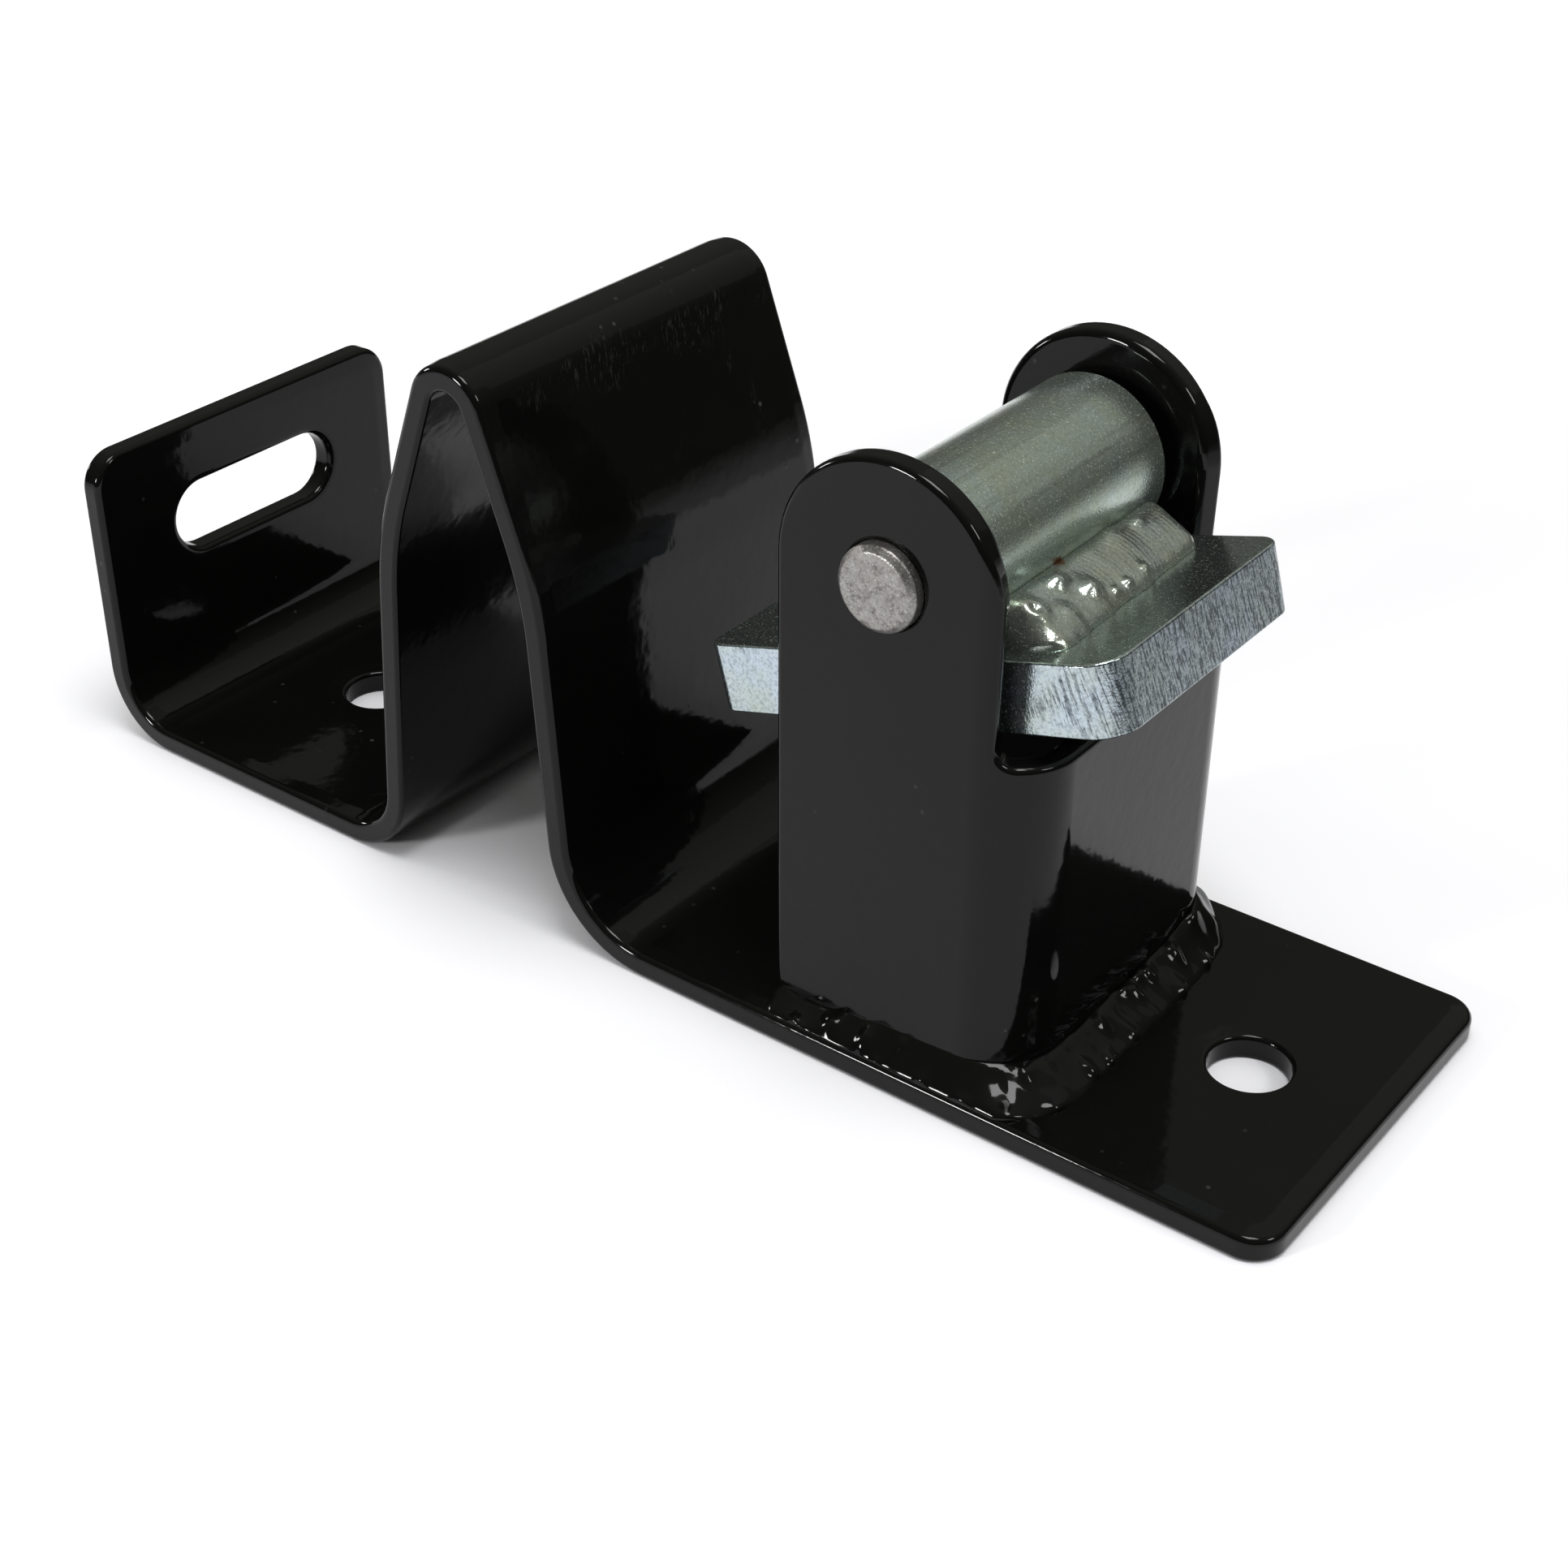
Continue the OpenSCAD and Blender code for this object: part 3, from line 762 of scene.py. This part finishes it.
def zinc(name, blue, olive, rough, metal, cloud_scale, relief):
    """Zinc plating: a metal between two tints in cloudy patches, with grain, glints, rust and a relief.

    relief gives its height and depth in millimetres, where marks and painted shade make it dark and that colour, and
    where all is olive as a painted reflection.
    """
    m = Shader(name)
    here = m.place
    height, depth, marks_and_painted_shade, dark, painted_olive_reflection = relief(m)
    cloud = m.noise(here, cloud_scale, 4.0, 0.65)
    specks = m.times(m.dots(here, 330, 0.10, 0.22), m.ramp(m.noise(here, 130, 2.0), 0.68, 0.74))
    ragged = m.times(m.noise(here, 900, 3.0, 0.7), 0.0022)
    away = m.node("ShaderNodeVectorMath", "Value", {"operation": "DISTANCE"}, i0=here, i1=STAIN_AT)
    rust = m.most(specks, m.ramp(m.plus(away, ragged), 0.0020, 0.0026, 0.95, 0.0))
    glint = m.ramp(m.noise(here, 2900, 2.0), 0.60, 0.72)
    grain = m.ramp(m.noise(here, 1700, 3.0, 0.8), 0.38, 0.54, 0.42, 0.0)
    # faces that the relief picks turn wholly olive: a painted reflection of the olive ceiling
    tint = m.mix(m.most(m.ramp(cloud, 0.36, 0.66), painted_olive_reflection), blue, olive)
    tint = m.mix(m.math("MINIMUM", m.plus(marks_and_painted_shade, grain), 1.0), tint, dark)
    tint = m.mix(m.times(glint, 0.4), tint, GLINT)
    gloss = m.ramp(cloud, 0.3, 0.7, rough - 0.04, rough + 0.05)
    m.base(Base_Color=m.mix(rust, tint, RUST),
           Roughness=m.plus(gloss, m.times(marks_and_painted_shade, 0.12), m.times(rust, 0.3)),
           Normal=m.bump(m.noise(here, 2800, 1.5, 0.6), 0.035, m.bump(height, depth)),
           Metallic=m.ramp(glint, 0.0, 1.0, metal, metal - 0.4))
    return m.material


def cut_edges(m):
    """Slanting cut marks, close on the pawl's ends and patchy on its sides, with a smooth top and bottom, and painted
    shade that darkens the ends and rounded corners.
    """
    facing = m.turned(m.normal, y=HANG_ANGLE)
    x, y, z = (m.math("ABSOLUTE", m.part(facing, axis)) for axis in "XYZ")
    edge = m.ramp(z, 0.45, 0.75, 1.0, 0.0)
    end = m.times(m.ramp(x, 0.75, 0.95), edge)
    corner = m.times(m.ramp(x, 0.15, 0.45), m.ramp(y, 0.25, 0.5), edge)
    marks = m.noise(m.scaled(m.turned(m.place, -0.12, HANG_ANGLE + 0.16), 2100, 2100, 95), 1.0, 2.0, 0.65)
    spread = m.plus(m.noise(m.place, 130, 2.0), m.ramp(m.part(m.place, "X"), *CUT_X, -0.04, 0.16))
    patchy = m.most(end, m.times(edge, m.ramp(spread, 0.54, 0.66)))
    grooves = m.times(patchy, m.ramp(marks, 0.41, 0.51, 1.0, 0.0))
    # painted shade: the ends are darkened as a whole and the rounded corners a little; only the grooves are cut marks
    marks_and_painted_shade = m.plus(m.times(grooves, 0.58), m.times(end, 0.46), m.times(corner, 0.14))
    # the last value makes the top and bottom olive, a painted reflection of the olive ceiling
    return m.times(marks, patchy), 0.05, marks_and_painted_shade, (0.07, 0.085, 0.095), m.math("SUBTRACT", 1.0, edge)


def drawn_tube(m):
    """Faint lines along the tube."""
    lines = m.noise(m.scaled(m.place, 420, 9, 420), 1.0, 3.0, 0.65)
    return lines, 0.010, m.ramp(lines, 0.53, 0.68, 0.0, 0.6), (0.22, 0.25, 0.21), 0.0


def frozen_weld(m):
    """Fine wrinkles on weld metal."""
    wrinkles = m.noise(m.place, 900, 3.0, 0.7)
    return wrinkles, 0.035, m.ramp(wrinkles, 0.52, 0.72, 0.0, 0.45), (0.24, 0.27, 0.24), 0.0


def cut_bar(m):
    """Mottled end of a cut bar."""
    mottle = m.noise(m.place, 700, 4.0, 0.75)
    return mottle, 0.08, m.ramp(mottle, 0.48, 0.66, 0.0, 0.8), (0.13, 0.12, 0.115), 0.0


def dress(piece, material, body, slot, *nodes):
    """Gives a piece its finish and puts it in place of its CAD nodes."""
    piece.data.materials.append(material)
    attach(piece, body)
    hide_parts(*nodes)


coat = coat_material()
plate_zinc = zinc("zinc_plate", (0.51, 0.59, 0.67), (0.475, 0.545, 0.51), 0.14, 0.945, 90, cut_edges)
tube_zinc = zinc("zinc_tube", (0.44, 0.525, 0.495), (0.43, 0.49, 0.39), 0.19, 0.84, 110, drawn_tube)
weld_zinc = zinc("zinc_weld", (0.42, 0.48, 0.46), (0.415, 0.455, 0.37), 0.17, 0.84, 150, frozen_weld)
pin_zinc = zinc("zinc_pin", (0.36, 0.355, 0.34), (0.26, 0.25, 0.235), 0.36, 0.92, 420, cut_bar)

dress(strap(), coat, "frame", "coat", "strap")
dress(clevis(), coat, "frame", "coat", "clevis")
dress(clevis_weld(), coat, "frame", "coat", "clevis_weld_front", "clevis_weld_web", "clevis_weld_rear")
dress(pawl(), plate_zinc, "pawl", "zinc", "pawl")
dress(barrel(), tube_zinc, "pawl", "zinc", "barrel")
dress(pin(), pin_zinc, "pawl", "pin_zinc", "pin")
tail_weld = pawl_weld("pawl_weld_tail_plated", 1, 13.0, TAIL_DROPS)
dress(tail_weld, weld_zinc, "pawl", "zinc", "pawl_weld_tail")
tongue_weld = pawl_weld("pawl_weld_tongue_plated", -1, 31.0, TONGUE_DROPS)
dress(tongue_weld, weld_zinc, "pawl", "zinc", "pawl_weld_tongue")


# Stage, light and camera

PHOTO_SIZE, PHOTO_FOCAL = 1932, 3103.4  # in pixels
SENSOR_W = 36.0
CAMERA_AT = (0.24126, -0.30639, 0.26345)
AZIMUTH, ELEVATION, ROLL = math.radians(37.078), math.radians(32.201), math.radians(0.36)

FLOOR_R = 6.0
FLOOR_TINT, SHEET_TINT, ROOM_TINT = (0.80, 0.80, 0.83, 1), (0.98, 0.98, 1.0, 1), (1.0, 1.0, 0.90, 1)
SHEET_SIDE, SHEET_END = (0.35, 0.46), (0.75, 1.3)  # where the white sheet round the object fades out
# how far the object reaches to dim the floor's glow, a painted shadow
SHADOW_REACH = 0.12
LIT_AT = Vector((0, 0, 0.05))

# Lamps: direction from the object, distance, size and power
LAMPS = {
    "overhead": ((0.15, -0.10, 1.0), 1.3, 0.45, 8.0),
    "back_panel": ((0.20, 0.70, 0.66), 1.2, 0.9, 0.35),
    "right": ((0.78, 0.05, 0.63), 1.0, 0.20, 1.8),
    "key": ((-0.36, -0.896, 0.257), 1.2, 0.18, 7.0),
    "left": ((-0.93, -0.25, 0.25), 1.0, 0.14, 1.6),
}


def floor():
    """Pale floor that the camera and shiny surfaces see as white round the object, with the lamps' shadow and a
    painted shadow where its glow dims.
    """
    mesh = bpy.data.meshes.new("floor")
    work = bmesh.new()
    bmesh.ops.create_circle(work, cap_ends=True, segments=96, radius=FLOOR_R)
    work.to_mesh(mesh)
    work.free()
    piece = add("floor", mesh)
    m = Shader("pale_floor")
    away = m.node("ShaderNodeVectorMath", "Value", {"operation": "LENGTH"}, i0=m.place)
    aside = m.math("ABSOLUTE", m.part(m.turned(m.place, z=-AZIMUTH), "X"))
    rays = m.tree.nodes.new("ShaderNodeLightPath").outputs
    seen = m.most(rays["Is Camera Ray"], rays["Is Glossy Ray"], rays["Is Transmission Ray"])
    sheet = m.times(m.ramp(aside, *SHEET_SIDE, 1.0, 0.0, True), m.ramp(away, *SHEET_END, 1.0, 0.0, True))
    # painted shadow: the glow dims where the object hides the sky round it, under and beside it
    open_sky = m.node("ShaderNodeAmbientOcclusion", "AO", {"samples": 6}, Distance=SHADOW_REACH)
    glow = m.times(seen, sheet, m.ramp(open_sky, 0.25, 0.8), m.ramp(away, 0.2, 0.65, 0.36, 0.64))
    m.base(Base_Color=FLOOR_TINT, Roughness=0.9, Specular_IOR_Level=0.0,
           Emission_Color=SHEET_TINT, Emission_Strength=glow)
    piece.data.materials.append(m.material)


def soft_lamp(name, direction, distance, size, power):
    """Square soft lamp that faces the middle of the object."""
    data = bpy.data.lights.new(name, "AREA")
    data.shape, data.size, data.energy = "SQUARE", size, power
    lamp = add(name, data)
    way = Vector(direction).normalized()
    lamp.location = LIT_AT + way * distance
    lamp.rotation_euler = way.to_track_quat("Z", "Y").to_euler()
    lamp.visible_camera = False


def room():
    """World that is dim at the horizon and in front and brighter overhead, as a room with a lit ceiling."""
    world = bpy.data.worlds.new("room")
    world.use_nodes = True
    w = Nodes(world.node_tree)
    way = w.node("ShaderNodeTexCoord", "Generated")
    ceiling = w.ramp(w.math("POWER", w.part(way, "Z"), 1.6, clamp=True), 0.0, 1.0, 0.06, 0.46)
    front = w.ramp(w.part(way, "Y"), -0.5, 0.3, 0.45, 1.0)
    background = w.tree.nodes["Background"].inputs
    w.put(background["Strength"], w.times(ceiling, front))
    w.put(background["Color"], ROOM_TINT)
    bpy.context.scene.world = world


def camera():
    """Camera at the photograph's place."""
    flat = math.cos(ELEVATION)
    ahead = Vector((-math.sin(AZIMUTH) * flat, math.cos(AZIMUTH) * flat, -math.sin(ELEVATION)))
    side = ahead.cross(Vector((0, 0, 1))).normalized()
    top = side.cross(ahead)
    c, s = math.cos(ROLL), math.sin(ROLL)
    side, top = side * c + top * s, top * c - side * s
    data = bpy.data.cameras.new("camera")
    data.sensor_width, data.lens = SENSOR_W, SENSOR_W * PHOTO_FOCAL / PHOTO_SIZE
    data.clip_start, data.clip_end = 0.01, 50.0
    view = add("camera", data)
    view.matrix_world = Matrix.Translation(CAMERA_AT) @ Matrix((side, top, -ahead)).transposed().to_4x4()
    bpy.context.scene.camera = view


floor()
for lamp_name, lamp_values in LAMPS.items():
    soft_lamp(lamp_name, *lamp_values)
room()
camera()
bpy.context.scene.view_settings.view_transform = "Standard"
